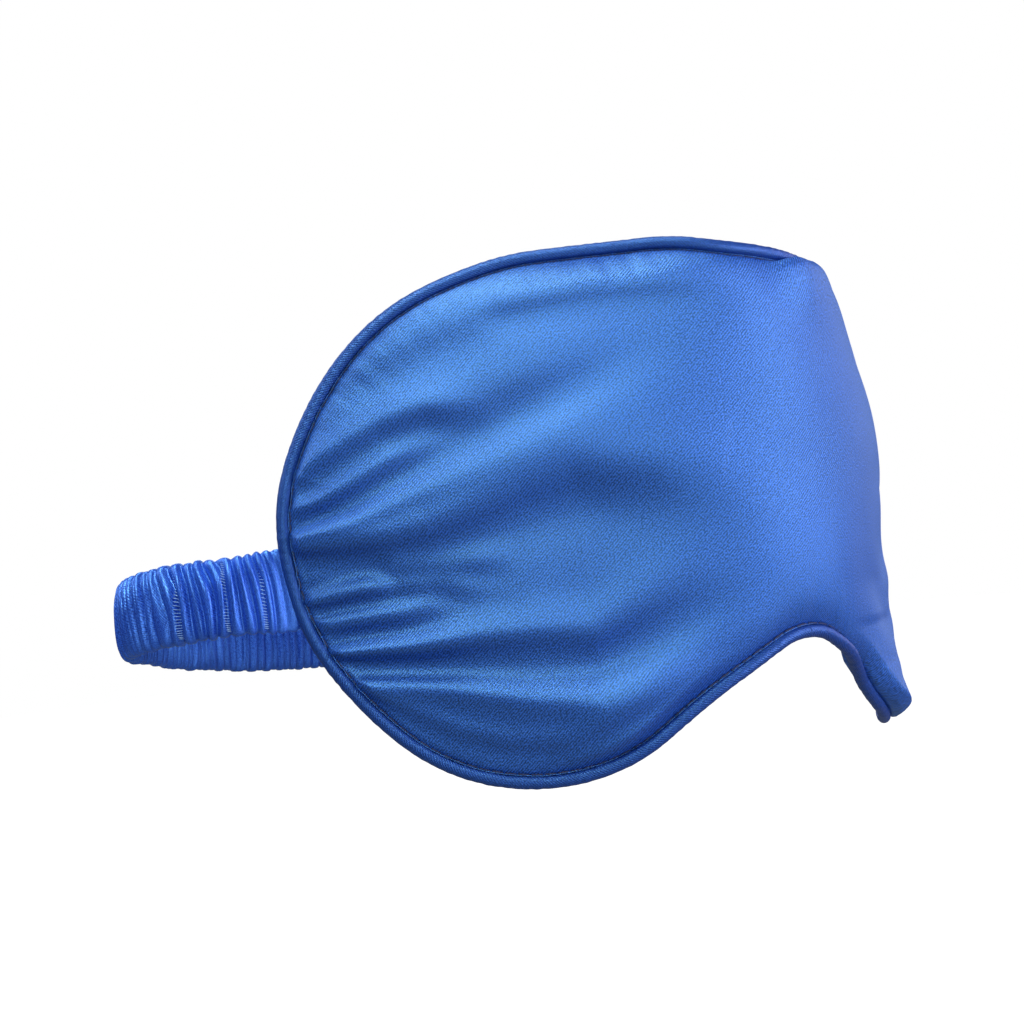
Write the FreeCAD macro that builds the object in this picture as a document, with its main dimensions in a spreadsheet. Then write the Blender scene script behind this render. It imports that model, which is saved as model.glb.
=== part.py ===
import FreeCAD, Part
import math
import os

import Sketcher

# Padded sleep eye mask with a gathered elastic strap. Millimetres, +Z up.
# The origin is the middle of the lining, where it meets the bridge of the nose.
# The front of the mask faces -Y and the strap loops round the head towards +Y.

Vector = FreeCAD.Vector
Rotation = FreeCAD.Rotation
Placement = FreeCAD.Placement

DOCUMENT = FreeCAD.newDocument("sleep_mask")

SIZES = [
    # plan of the seam surface, in which front, piping and lining are sewn together
    ("bend_radius", 54, "radius of the curve over the nose"),
    ("bend_angle", 41.5, "turn of each side panel from the middle, degrees"),
    ("side_length", 74, "straight run of a side panel before it is cut out"),
    ("blank_height", 130, "height of a layer before it is cut out"),
    ("cut_depth", 70, "depth of the cutter across a panel"),
    # outline of one half, drawn on its side panel
    ("notch_height", 30.5, "depth of the nose notch's top below the middle"),
    ("notch_radius", 11, "round at the top of the nose notch"),
    ("lobe_low", 54.2, "depth of the lowest point of the outline"),
    ("lobe_low_reach", 54.5, "distance of the lowest point from the middle"),
    ("inner_radius", 45, "curve from the nose to the lowest point"),
    ("lower_radius", 50, "curve from the lowest point to the outer end"),
    ("end_straight", 1.5, "straight piece at the outer end"),
    ("upper_radius", 57, "curve from the outer end to the brow"),
    ("dip_reach", 25, "half width of the dip in the top edge"),
    ("dip_height", 51.5, "height of the top edge at the middle"),
    ("overlap", 15, "run of the drawn half past the middle"),
    # layers, measured from the seam surface
    ("front_crown", 6.0, "outside of the front cover"),
    ("back_crown", 4.5, "face of the lining"),
    ("satin", 0.4, "satin with its seam allowance"),
    ("play", 0.1, "gap between loose layers"),
    ("blackout", 0.5, "thickness of the light-blocking layer"),
    # edge
    ("piping_width", 3.0, "piping across"),
    ("piping_wall", 0.6, "satin wrapped round the piping cord"),
    ("stitch_inset", 3.2, "seam line, from the outer edge"),
    ("thread", 0.4, "width of the line of stitches"),
    # strap
    ("strap_width", 17, "height of the gathered sleeve"),
    ("strap_depth", 4, "thickness of the gathered sleeve"),
    ("sleeve_wall", 1.2, "gathered satin each side of the elastic"),
    ("elastic_width", 12, "height of the elastic"),
    ("elastic_depth", 1.0, "thickness of the elastic"),
    ("strap_height", 9.2, "depth of the strap's middle below the origin, where it is sewn in"),
    ("strap_start", 101.4, "sewn end of the strap, along the side panel"),
    ("strap_gap", 1.5, "gap between the piping and the strap, which tilts as it droops"),
    ("temple_radius", 42, "curve of the strap beside the temple"),
    ("temple_angle", 85, "turn of that curve, degrees"),
    ("strap_droop", 6.5, "fall of the strap towards the back, degrees"),
    ("overlock_width", 2.0, "row of stitches along the sleeve"),
    ("overlock_depth", 0.3, "height of that row"),
    ("end_row", 1.2, "row of stitches across each end of the strap"),
]

# the curve over the nose is centred behind the origin
BEND_CENTRE = "(size.bend_radius - size.back_crown)"
BEND_SIN = "sin(size.bend_angle * 1deg)"
BEND_COS = "cos(size.bend_angle * 1deg)"


def fill_sheet():
    sheet = DOCUMENT.addObject("Spreadsheet::Sheet", "size")
    for row, (alias, value, note) in enumerate(SIZES, start=1):
        sheet.set(f"A{row}", alias)
        sheet.set(f"B{row}", str(value))
        sheet.set(f"C{row}", note)
        sheet.setAlias(f"B{row}", alias)
    DOCUMENT.recompute()
    return sheet


def add(kind, name, formulas):
    """An object whose properties are bound to the sheet."""
    item = DOCUMENT.addObject(kind, name)
    for prop, formula in formulas.items():
        item.setExpression(prop, formula)
    return item


def cut(name, whole, tool):
    item = DOCUMENT.addObject("Part::Cut", name)
    item.Base = whole
    item.Tool = tool
    return item


def common(name, first, second):
    item = DOCUMENT.addObject("Part::Common", name)
    item.Base = first
    item.Tool = second
    return item


def fuse(name, shapes):
    item = DOCUMENT.addObject("Part::MultiFuse", name)
    item.Shapes = shapes
    return item


def mirror(name, source):
    """The same shape on the other side of the face."""
    item = DOCUMENT.addObject("Part::Mirroring", name)
    item.Source = source
    item.Normal = (1, 0, 0)
    return item


# ------------------------------------------------------------ mask, plan

def band(name, front, back):
    """A layer that follows the plan, from front to back of the seam surface."""
    outer = f"(size.bend_radius + {front})"
    sector = add("Part::Cylinder", f"{name}_sector", {
        "Radius": outer,
        "Angle": "2 * size.bend_angle",
        "Height": "size.blank_height",
        "Placement.Base.y": BEND_CENTRE,
        "Placement.Base.z": "-size.blank_height / 2",
        "Placement.Rotation.Angle": "-90 - size.bend_angle",
    })
    core = add("Part::Cylinder", f"{name}_core", {
        "Radius": f"size.bend_radius - ({back})",
        "Height": "size.blank_height",
        "Placement.Base.y": BEND_CENTRE,
        "Placement.Base.z": "-size.blank_height / 2",
    })
    side = add("Part::Box", f"{name}_side", {
        "Length": "size.side_length",
        "Width": f"{front} + ({back})",
        "Height": "size.blank_height",
        "Placement.Base.x": f"{outer} * {BEND_SIN}",
        "Placement.Base.y": f"{BEND_CENTRE} - {outer} * {BEND_COS}",
        "Placement.Base.z": "-size.blank_height / 2",
        "Placement.Rotation.Angle": "size.bend_angle",
    })
    curve = cut(f"{name}_curve", sector, core)
    return fuse(f"{name}_band", [curve, side, mirror(f"{name}_far_side", side)])


# --------------------------------------------------------- mask, outline

def arc(x, y, radius, start, end):
    """An arc of a sketch, anticlockwise from start to end in degrees."""
    circle = Part.Circle(Vector(x, y, 0), Vector(0, 0, 1), radius)
    return Part.ArcOfCircle(circle, math.radians(start), math.radians(end))


def line(x1, y1, x2, y2):
    return Part.LineSegment(Vector(x1, y1, 0), Vector(x2, y2, 0))


def outline_sketch(sheet):
    """One half of the outline, in the plane of its side panel, run on past the middle."""
    sketch = DOCUMENT.addObject("Sketcher::SketchObject", "outline")
    low, reach = -sheet.lobe_low, sheet.lobe_low_reach
    end_x, end_y = reach + sheet.lower_radius, low + sheet.lower_radius
    brow_x, brow_y = end_x - sheet.upper_radius, end_y + sheet.end_straight
    top = brow_y + sheet.upper_radius
    dip_drop = top - sheet.dip_height
    dip_radius = (sheet.dip_reach**2 + dip_drop**2) / (4 * dip_drop)
    dip_turn = math.degrees(math.asin(sheet.dip_reach / 2 / dip_radius))
    dip_x, dip_y = sheet.dip_reach / 2, (top + sheet.dip_height) / 2
    slope = 31.5
    notch_top = -sheet.notch_height
    notch_y = notch_top - sheet.notch_radius
    flank_x = sheet.notch_radius * math.sin(math.radians(slope))
    flank_y = notch_y + sheet.notch_radius * math.cos(math.radians(slope))
    cheek_x = reach - sheet.inner_radius * math.sin(math.radians(slope))
    cheek_y = low + sheet.inner_radius * (1 - math.cos(math.radians(slope)))
    notch, flank, inner, lower, end, upper, brow, dip_side, dip, top_run, close, low_run = range(12)
    sketch.addGeometry([
        arc(0, notch_y, sheet.notch_radius, 90 - slope, 90),
        line(flank_x, flank_y, cheek_x, cheek_y),
        arc(reach, low + sheet.inner_radius, sheet.inner_radius, 270 - slope, 270),
        arc(reach, end_y, sheet.lower_radius, 270, 360),
        line(end_x, end_y, end_x, brow_y),
        arc(brow_x, brow_y, sheet.upper_radius, 0, 90),
        line(brow_x, top, sheet.dip_reach, top),
        arc(sheet.dip_reach, top - dip_radius, dip_radius, 90, 90 + dip_turn),
        arc(0, sheet.dip_height + dip_radius, dip_radius, 270, 270 + dip_turn),
        line(0, sheet.dip_height, -sheet.overlap, sheet.dip_height),
        line(-sheet.overlap, sheet.dip_height, -sheet.overlap, notch_top),
        line(-sheet.overlap, notch_top, 0, notch_top),
    ])
    start, finish, centre = 1, 2, 3
    origin, height_axis = -1, -2
    smooth = [
        (notch, start, flank, start),
        (flank, finish, inner, start),
        (inner, finish, lower, start),
        (lower, finish, end, start),
        (end, finish, upper, start),
        (upper, finish, brow, start),
        (brow, finish, dip_side, start),
        (dip_side, finish, dip, finish),
        (dip, start, top_run, start),
        (low_run, finish, notch, finish),
    ]
    for joint in smooth:
        sketch.addConstraint(Sketcher.Constraint("Tangent", *joint))
    sketch.addConstraint([
        Sketcher.Constraint("Coincident", top_run, finish, close, start),
        Sketcher.Constraint("Coincident", close, finish, low_run, start),
        Sketcher.Constraint("Vertical", end),
        Sketcher.Constraint("Vertical", close),
        Sketcher.Constraint("Vertical", inner, centre, inner, finish),
        Sketcher.Constraint("Horizontal", brow),
        Sketcher.Constraint("Horizontal", top_run),
        Sketcher.Constraint("Horizontal", low_run),
        Sketcher.Constraint("PointOnObject", notch, finish, height_axis),
        Sketcher.Constraint("PointOnObject", dip, start, height_axis),
        Sketcher.Constraint("Equal", dip, dip_side),
    ])
    driven = [
        ("Radius", (notch,), "notch_radius"),
        ("Radius", (inner,), "inner_radius"),
        ("Radius", (lower,), "lower_radius"),
        ("Radius", (upper,), "upper_radius"),
        ("Distance", (end,), "end_straight"),
        ("DistanceY", (notch, finish, origin, start), "notch_height"),
        ("DistanceY", (inner, finish, origin, start), "lobe_low"),
        ("DistanceX", (origin, start, inner, finish), "lobe_low_reach"),
        ("DistanceX", (origin, start, brow, finish), "dip_reach"),
        ("DistanceY", (origin, start, dip, start), "dip_height"),
        ("DistanceX", (close, start, origin, start), "overlap"),
    ]
    for kind, where, alias in driven:
        number = sketch.addConstraint(Sketcher.Constraint(kind, *where, getattr(sheet, alias)))
        sketch.renameConstraint(number, alias)
        sketch.setExpression(f"Constraints.{alias}", f"size.{alias}")
    upright = Rotation(Vector(1, 0, 0), 90)
    turned = Rotation(Vector(0, 0, 1), sheet.bend_angle)
    sketch.Placement = Placement(Vector(0, -sheet.back_crown, 0), turned * upright)
    return sketch


def cutter(outline, inset):
    """The solid whose wall is the outline moved in by inset, square to each side panel."""
    name = f"cutter{CUTTERS.setdefault(inset, len(CUTTERS))}"
    if DOCUMENT.getObject(name):
        return DOCUMENT.getObject(name)
    profile = outline
    if inset != EDGE:
        profile = add("Part::Offset2D", f"{name}_profile", {"Value": f"-({inset})"})
        profile.Source = outline
    prism = add("Part::Extrusion", f"{name}_prism", {"LengthFwd": "size.cut_depth"})
    prism.Base = profile
    prism.DirMode = "Normal"
    prism.Solid = True
    prism.Symmetric = True
    half = common(f"{name}_half", prism, DOCUMENT.getObject("right_side"))
    return fuse(name, [half, mirror(f"{name}_mirror", half)])


CUTTERS = {}
EDGE = "0"


def right_side():
    """Everything on the +X side, as a box."""
    return add("Part::Box", "right_side", {
        "Length": "2 * size.side_length",
        "Width": "4 * size.side_length",
        "Height": "size.blank_height",
        "Placement.Base.y": "-size.side_length",
        "Placement.Base.z": "-size.blank_height / 2",
    })


# ---------------------------------------------------------- mask, pieces

def slab(name, outline, front, back, inset):
    """A layer from front to back of the seam surface, cut out inset from the edge."""
    return common(name, band(name, front, back), cutter(outline, inset))


def cover(name, outline, crown, front):
    """A satin cover: a face at its crown and a turned-in wall that reaches the seam."""
    wall = "size.thread / 2 + size.play"
    inner = f"{crown} - size.satin"
    inset = "size.stitch_inset"
    spans = [(crown, f"-({wall})"), (inner, "0")]
    if not front:
        spans = [(back, face) for face, back in spans]
    whole = slab(f"{name}_whole", outline, *spans[0], inset)
    inside = slab(f"{name}_inside", outline, *spans[1], f"{inset} + size.satin")
    return cut(name, whole, inside)


def ring(name, outline, half_depth, outer, inner):
    """A run of square section that follows the edge, between two insets."""
    whole = slab(f"{name}_outer", outline, half_depth, half_depth, outer)
    hole = cutter(outline, inner)
    return cut(name, whole, hole)


def mask_pieces(outline):
    core = "size.stitch_inset + size.satin + size.play"
    lining_inside = "size.back_crown - size.satin - size.play"
    front_inside = "size.front_crown - size.satin - size.play"
    blackout_back = "size.thread + size.play"
    blackout_front = f"{blackout_back} + size.blackout"
    piping_tube = ring("piping_tube", outline, "size.piping_width / 2", EDGE, "size.piping_width")
    wall = "size.piping_wall"
    bore = ring("piping_bore", outline, f"size.piping_width / 2 - {wall}", wall, f"size.piping_width - {wall}")
    loose = f"{wall} + size.play"
    return {
        "front_cover": cover("front_cover", outline, "size.front_crown", True),
        "front_wadding": slab("front_wadding", outline, front_inside, f"-({blackout_front} + size.play)", core),
        "blackout_layer": slab("blackout_layer", outline, blackout_front, f"-({blackout_back})", core),
        "back_wadding": slab("back_wadding", outline, "-(size.thread - size.play)", lining_inside, core),
        "lining": cover("lining", outline, "size.back_crown", False),
        "piping_cover": cut("piping_cover", piping_tube, bore),
        "piping_cord": ring(
            "piping_cord", outline, f"size.piping_width / 2 - ({loose})", loose, f"size.piping_width - ({loose})"
        ),
        "edge_stitches": ring(
            "edge_stitches", outline, "size.thread / 2", "size.stitch_inset", "size.stitch_inset + size.thread"
        ),
    }


# ----------------------------------------------------------------- strap

# where the strap starts, in the panel's own directions: along it, and in front of it
STRAP_DEPTH = (
    "(size.bend_radius * (1 - " + BEND_COS + ")"
    " - size.piping_width / 2 - size.strap_gap - size.strap_depth / 2)"
)
START_X = f"(size.strap_start * {BEND_COS} + {STRAP_DEPTH} * {BEND_SIN})"
START_Y = f"(size.strap_start * {BEND_SIN} - {STRAP_DEPTH} * {BEND_COS} - size.back_crown)"
TEMPLE_X = f"({START_X} - size.temple_radius * {BEND_SIN})"
TEMPLE_Y = f"({START_Y} + size.temple_radius * {BEND_COS})"
BACK_TURN = "(size.bend_angle + size.temple_angle - 90)"
BACK_SIN = f"sin({BACK_TURN} * 1deg)"
BACK_COS = f"cos({BACK_TURN} * 1deg)"
# the back curve meets the temple curve where both head the same way
BACK_RADIUS = f"(({TEMPLE_X}) / {BACK_COS} + size.temple_radius)"
BACK_Y = f"({TEMPLE_Y} + (size.temple_radius - {BACK_RADIUS}) * {BACK_SIN})"


def sector(name, radius, outside, inside, height, turns):
    """Part of a curved wall of the strap, from inside to outside of its middle line."""
    base = {"Height": height, "Placement.Base.z": f"-size.strap_height - ({height}) / 2"}
    whole = add("Part::Cylinder", f"{name}_whole", {"Radius": f"{radius} + {outside}", **base, **turns})
    place = {key: turns[key] for key in turns if key.startswith("Placement.Base")}
    core = add("Part::Cylinder", f"{name}_core", {"Radius": f"{radius} + ({inside})", **base, **place})
    return cut(name, whole, core)


def loop(name, outside, inside, height):
    """A level band along the whole strap, between two distances outside its middle line."""
    temple = sector(f"{name}_temple", "size.temple_radius", outside, inside, height, {
        "Angle": "size.temple_angle",
        "Placement.Base.x": TEMPLE_X,
        "Placement.Base.y": TEMPLE_Y,
        "Placement.Rotation.Angle": "size.bend_angle - 90",
    })
    back = sector(f"{name}_back", BACK_RADIUS, outside, inside, height, {
        "Angle": f"180 - 2 * {BACK_TURN}",
        "Placement.Base.y": BACK_Y,
        "Placement.Rotation.Angle": BACK_TURN,
    })
    return fuse(name, [temple, back, mirror(f"{name}_far_temple", temple)])


def droop(item, sheet, pivot):
    """Lets a strap piece hang, turned about the line through the strap's sewn ends."""
    item.Placement = Placement(Vector(), Rotation(Vector(1, 0, 0), -sheet.strap_droop), pivot)
    return item


def end_stitches():
    """The row of stitches across each end of the strap, on its inner face."""
    clear = "(size.strap_depth / 2 + 2 * size.play)"
    row = add("Part::Box", "end_row", {
        "Length": "size.end_row",
        "Width": "size.thread",
        "Height": "size.elastic_width",
        "Placement.Base.x": f"{START_X} + size.end_row * {BEND_COS} - {clear} * {BEND_SIN}",
        "Placement.Base.y": f"{START_Y} + size.end_row * {BEND_SIN} + {clear} * {BEND_COS}",
        "Placement.Base.z": "-size.strap_height - size.elastic_width / 2",
        "Placement.Rotation.Angle": "size.bend_angle",
    })
    return fuse("strap_end_stitches", [row, mirror("far_end_row", row)])


def strap_pieces(sheet):
    half = "size.strap_depth / 2"
    elastic = "size.elastic_depth / 2"
    bore = f"({half} - size.sleeve_wall)"
    sleeve = loop("sleeve_blank", half, f"-{half}", "size.strap_width")
    inside = loop("sleeve_bore", bore, f"-{bore}", "size.strap_width - 2 * size.sleeve_wall")
    pieces = {
        "strap_sleeve": cut("strap_sleeve", sleeve, inside),
        "elastic_band": loop("elastic_band", elastic, f"-{elastic}", "size.elastic_width"),
        "sleeve_stitches": loop(
            "sleeve_stitches", f"{half} + size.overlock_depth", half, "size.overlock_width"
        ),
        "strap_end_stitches": end_stitches(),
    }
    DOCUMENT.recompute()
    start = DOCUMENT.getObject("end_row").Placement.Base
    pivot = Vector(0, start.y, -sheet.strap_height)
    for piece in pieces.values():
        droop(piece, sheet, pivot)
    return pieces


# ---------------------------------------------------------------- output

def check(pieces):
    """Stops if anything in the document failed, or a piece isn't a whole solid."""
    for item in DOCUMENT.Objects:
        if {"Invalid", "Error"} & set(item.State):
            raise RuntimeError(f"{item.Name} failed: {item.State}")
    for name, piece in pieces.items():
        shape = piece.Shape
        if shape.isNull() or not shape.isValid() or not shape.Solids:
            raise RuntimeError(f"{name} is not a whole solid")


def export(pieces):
    os.makedirs("parts", exist_ok=True)
    for name, piece in pieces.items():
        piece.Label = name
        piece.Shape.exportStep(f"parts/{name}.step")
        box = piece.Shape.BoundBox
        print(
            f"{name:20} {len(piece.Shape.Solids)} solid, {piece.Shape.Volume:9.1f} mm3,"
            f" X {box.XMin:.1f}..{box.XMax:.1f}"
            f" Y {box.YMin:.1f}..{box.YMax:.1f} Z {box.ZMin:.1f}..{box.ZMax:.1f}"
        )


def main():
    sheet = fill_sheet()
    right_side()
    outline = outline_sketch(sheet)
    DOCUMENT.recompute()
    pieces = mask_pieces(outline)
    pieces.update(strap_pieces(sheet))
    DOCUMENT.recompute()
    check(pieces)
    export(pieces)


main()
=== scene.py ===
"""Looks of the padded satin sleep mask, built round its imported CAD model."""
import math

import bpy
import numpy as np
from mathutils import Matrix, Vector


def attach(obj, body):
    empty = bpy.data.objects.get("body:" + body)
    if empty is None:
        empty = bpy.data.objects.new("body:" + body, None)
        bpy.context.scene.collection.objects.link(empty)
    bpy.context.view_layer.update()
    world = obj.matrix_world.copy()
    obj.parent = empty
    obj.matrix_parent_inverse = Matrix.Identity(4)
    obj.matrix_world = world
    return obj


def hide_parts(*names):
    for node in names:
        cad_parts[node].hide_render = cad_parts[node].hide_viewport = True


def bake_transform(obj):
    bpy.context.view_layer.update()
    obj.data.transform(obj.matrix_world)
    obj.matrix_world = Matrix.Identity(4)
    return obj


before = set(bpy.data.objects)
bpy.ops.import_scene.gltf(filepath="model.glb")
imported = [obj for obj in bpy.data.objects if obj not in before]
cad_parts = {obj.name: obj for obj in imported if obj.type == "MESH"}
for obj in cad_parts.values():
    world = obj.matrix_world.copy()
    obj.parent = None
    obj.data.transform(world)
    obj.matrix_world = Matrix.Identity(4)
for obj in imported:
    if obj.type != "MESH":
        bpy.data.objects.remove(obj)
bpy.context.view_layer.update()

MM = 0.001

# One unit of a cloth's pattern map, and the wave texture's scale that puts one wave in one unit
PATTERN_UNIT = 100
WAVE_SCALE = 0.314

# Lengths are in millimetres and angles in radians, unless a comment says otherwise. s is the
# distance along the mask from its middle, towards +X, and z is the height.

# Plan of the seam surface: it turns by SIDE_TURN over TURN_RUN and curls a little after that.
# The two covers are padded out from it by their crowns.
SIDE_TURN = math.radians(40.3)
TURN_RUN = 48.6
SIDE_CURL = 0.00076
BACK_CROWN = 4.5
FRONT_CROWN = 5.0
FRONT_CROWN_REACH = 30
BACK_CROWN_REACH = 26

# How far the soft panel stands forward of its plan at each height: it falls back along the brow,
# less so at -X. Beside the nose, FLARE_MIDDLE from the middle, the front puffs out further by
# PUFF_LIFTS, less so at -X, and at +X the panel also moves by FAR_SET_LIFTS.
SET_HEIGHTS = (-60, -54, -46, -38, -30, -21, -12, -3, 6, 15, 24, 33, 42, 48, 54, 60)
SET_LIFTS = (0, 0, 0, -0.3, -1.3, -2.2, -1.6, 0, 0.5, 0, -0.8, -2, -3.4, -6, -12, -16)
PUFF_HEIGHTS = (-60, -54, -50, -46, -42, -38, -34, -30, -21)
PUFF_LIFTS = (11, 10.5, 9.5, 7.8, 6, 4.4, 2.6, 0.7, 0)
FLARE_MIDDLE = 36.0
FLARE_WIDTH = 17.0
NEAR_SHARE = 0.5
NEAR_PUFF = 0.4
FAR_SET_HEIGHTS = (-60, -54, -50, -46, -42, -38, -34, -28)
FAR_SET_LIFTS = (2, 2, 0.7, -0.9, -2.2, -2.5, -1.7, 0)

# Where the sewn outline lies inside the drawn one: distance from the middle, height, reach of
# the change and its size. FAR_TRIMS are on the half at +X only.
TRIMS = [(92, -31, 20, 2.3), (66, 50, 12, 0.6), (104, 8, 12, -0.7), (22, -43, 14, 0.8)]
FAR_TRIMS = [(42, 56, 22, 3.2), (17, 55, 15, 2.9)]

# How far the front cover at +X rolls over the piping at the brow and beside the nose, and how
# far it puffs out at the brow
BROW_ROLL = 3.5
BROW_PUFF = 2.0
CHEEK_ROLL = 3.2

# Outline of one half, measured on its side panel as in the CAD model
PANEL_TURN = math.radians(41.5)
NOTCH_TOP = -30.5
NOTCH_RADIUS = 11.0
FLANK_SLOPE = math.radians(31.5)
LOW_REACH = 54.5
LOW_POINT = -54.2
INNER_RADIUS = 45.0
LOWER_RADIUS = 50.0
END_STRAIGHT = 1.5
UPPER_RADIUS = 57.0
DIP_REACH = 25.0
DIP_HEIGHT = 51.5

# Edge. Insets are distances from the outline, and the edge is EDGE_LENGTH long all round. The
# piping's cover has a flat flange, from FLANGE_FROM to FLANGE_TO, that is sewn in at the seam.
PIPING_RADIUS = 1.4
PIPING_STEPS = 1800
PIPING_AROUND = 20
CORD_RADIUS = 0.95
CORD_STRAND = 0.16
CORD_TWISTS = 66
CORD_STEPS = 1400
CORD_AROUND = 12
PIPING_INSET = 1.35
COVER_INSET = 2.7
STITCH_INSET = 2.9
LAYER_INSET = 7.5
EDGE_LENGTH = 590.0
FLANGE_FROM = 2.0
FLANGE_TO = 6.3
FLANGE_STEPS = 600
EDGE_STITCHES = 200
EDGE_THREAD = 0.22

# Cloth of the covers: thickness, how deep its edge sinks in the groove by the piping, and the
# settings of its simulation. SIM_REACH is the longest move that is kept.
CLOTH_DEPTH = 0.35
EDGE_SINK = 0.55
CLOTH = {
    "quality": 6, "mass": 0.12, "tension_stiffness": 12, "compression_stiffness": 12,
    "shear_stiffness": 3, "bending_stiffness": 0.05, "air_damping": 4, "use_pressure": True,
    "uniform_pressure_force": 4.0, "shrink_min": -0.01,
}
SIM_FRAMES = 22
SIM_REACH = 1.0

# The covers' folds: their scale, and how far they are moved up, on each half and on the lining
NEAR_FOLDS = (1.35, 0)
FAR_FOLDS = (0.3, 1.2)
LINING_FOLDS = (-0.45, 0.6)

# Strap. It leaves the end of a lobe outwards, turns round the temple, then round the back of
# the head, falling as it goes. Its gathers are GATHER_STEP apart, and FAR_GATHER_STEP more on the
# half at +X. Rows of stitches run down gathers at these shares of the main part and at these
# distances from the end at -X.
STRAP_WIDTH = 16.8
STRAP_FROM = (83.4, 54.1)
STRAP_HEADING = math.radians(21)
TEMPLE_RADIUS = 30.7
TEMPLE_TURN = math.radians(114)
STRAP_HEIGHT = -8.9
STRAP_FALL = 12.4
GATHER_STEP = 2.5
FAR_GATHER_STEP = 1.2
SEAM_GATHERS = (0.3, 0.55, 0.82)
END_GATHERS = (9.0, 15.5, 25.0)
GATHER_STITCHES = 26
GATHER_THREAD = 0.07
END_STITCHES = 15
END_THREAD = 0.13
RIB_STEP = 1.1

# Where the strap is cut into its end parts and its main part, in metres. The sleeve is cut in the deepest
# crease within SPLIT_SPAN millimetres of SPLIT_Y.
SPLIT_Y = 0.0775
SPLIT_SPAN = 2.2

# Grids. The rings of a cover close on its spine, which reaches this far to each side.
SPINE_REACH = 55.0
COLUMNS = 960
RINGS = 72
SIM_COLUMNS = 300
SIM_RINGS = 22
LAYER_COLUMNS = 240
LAYER_RINGS = 18
SLEEVE_RINGS = 1801
SLEEVE_AROUND = 56

# Studio: places and sizes in metres, powers in watts. A light has a place, a size, a power and a
# colour. The floor and the world look pale but throw little light on the mask.
CAMERA_PLACE = (-0.3156, -0.2996, -0.0101)
CAMERA_TARGET = (-0.0498, 0.0255, 0.0017)
CAMERA_ROLL = math.radians(-6.41)
CAMERA_LENS = 73.2
FLOOR = -0.30
FLOOR_SIZE = 12.0
FLOOR_GLOW = 0.95
FLOOR_BOUNCE = 0.2
WORLD_LIGHT = 0.12
LIGHT_TARGET = (-0.03, 0.03, 0)
LIGHTS = [
    ("key", (-0.78, -0.58, 0.68), 0.4, 9.5, (0.97, 1, 0.8)),
    ("side", (0.6, -0.9, 0.25), 0.7, 12.5, (1, 0.88, 1)),
    ("top", (-0.25, -0.05, 1.1), 0.5, 13.0, (0.97, 1, 0.86)),
    ("far", (0.9, 0.0, 0.2), 0.6, 1.9, (1, 0.86, 1)),
    ("low", (-0.35, -0.8, -0.25), 0.6, 4.0, (0.97, 1, 0.95)),
    ("tip", (0.4, -0.7, -0.26), 0.4, 2.0, (0.85, 0.95, 1)),
    ("back", (0.35, 0.8, 0.35), 0.7, 3.0, (1, 1, 1)),
    ("rim", (-0.6, 0.5, 0.5), 0.5, 3.0, (1, 1, 1)),
]


# ---- shapes

def smoothstep(x):
    x = np.clip(x, 0, 1)
    return x * x * (3 - 2 * x)


def bell(x):
    """A smooth bump: one at zero, and gone by three."""
    return np.exp(-(x**2))


def circle(count):
    """Evenly spaced angles, once round."""
    return np.arange(count) / count * 2 * math.pi


def unit(vectors):
    """Vectors along the last axis, each made one unit long."""
    return vectors / np.linalg.norm(vectors, axis=-1, keepdims=True)


def pairs(along, across):
    """Every pair of numbers from two lists, as an array [along, across, 2]."""
    return np.stack(np.broadcast_arrays(along[:, None], across[None]), -1)


def plan_table():
    """Tangent angle and position of the seam surface for every half millimetre of s."""
    s = np.arange(0, 125, 0.5)
    turn = SIDE_TURN * np.sin(np.clip(s / TURN_RUN, 0, 1) * math.pi / 2)
    turn += SIDE_CURL * np.clip(s - TURN_RUN, 0, None)
    step = np.diff(s)
    middle = (turn[1:] + turn[:-1]) / 2
    x = np.concatenate([[0], np.cumsum(np.cos(middle) * step)])
    y = np.concatenate([[0], np.cumsum(np.sin(middle) * step)])
    return s, turn, x, y


PLAN = plan_table()


def set_table():
    """The panel's stand-off for every millimetre of height, smoothed."""
    height = np.arange(-60, 61, 1.0)
    lift = np.interp(height, SET_HEIGHTS, SET_LIFTS)
    box = np.ones(7) / 7
    for _ in range(2):
        lift = np.convolve(np.pad(lift, 3, mode="edge"), box, mode="valid")
    return height, lift


SETTLED = set_table()


def nose_puff(s, z, distance):
    """How much further the front cover puffs out beside the nose."""
    low = bell((np.abs(s) - FLARE_MIDDLE) / FLARE_WIDTH)
    share = np.where(s < 0, NEAR_PUFF, 1.0)
    return np.interp(z, PUFF_HEIGHTS, PUFF_LIFTS) * low * share * smoothstep(distance / 3.6)


def brow_roll(s, z, distance):
    """How far the front cover at +X moves as it rolls over the piping, up at the brow and down
    beside the nose, and how much further it puffs out at the brow."""
    there = smoothstep((s + 3) / 12) * (1 - smoothstep((s - 34) / 25)) * smoothstep((z - 26) / 16)
    roll = BROW_ROLL * smoothstep(distance / 2.2) * bell(distance / 7)
    puff = BROW_PUFF * smoothstep(distance / 4) * bell(distance / 14)
    cheek = smoothstep((s - 16) / 16) * (1 - smoothstep((s - 52) / 18)) * smoothstep((-34 - z) / 8)
    under = CHEEK_ROLL * smoothstep(distance / 1.8) * bell(distance / 6)
    return there * roll - cheek * under, there * puff


def settle(s, z):
    """How far the panel stands forward of its plan."""
    reach = np.abs(s)
    lift = np.interp(z, *SETTLED)
    low = bell((reach - FLARE_MIDDLE) / FLARE_WIDTH)
    high = smoothstep((reach - 4) / 32)
    share = np.where(s < 0, NEAR_SHARE, 1.0)
    share = 1 + (share - 1) * smoothstep(reach / 10)
    fall = np.interp(z, FAR_SET_HEIGHTS, FAR_SET_LIFTS) * low * smoothstep((s - 8) / 14)
    return share * np.where(z < -30, low, low + (high - low) * smoothstep((z + 30) / 24)) * lift + fall


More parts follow.
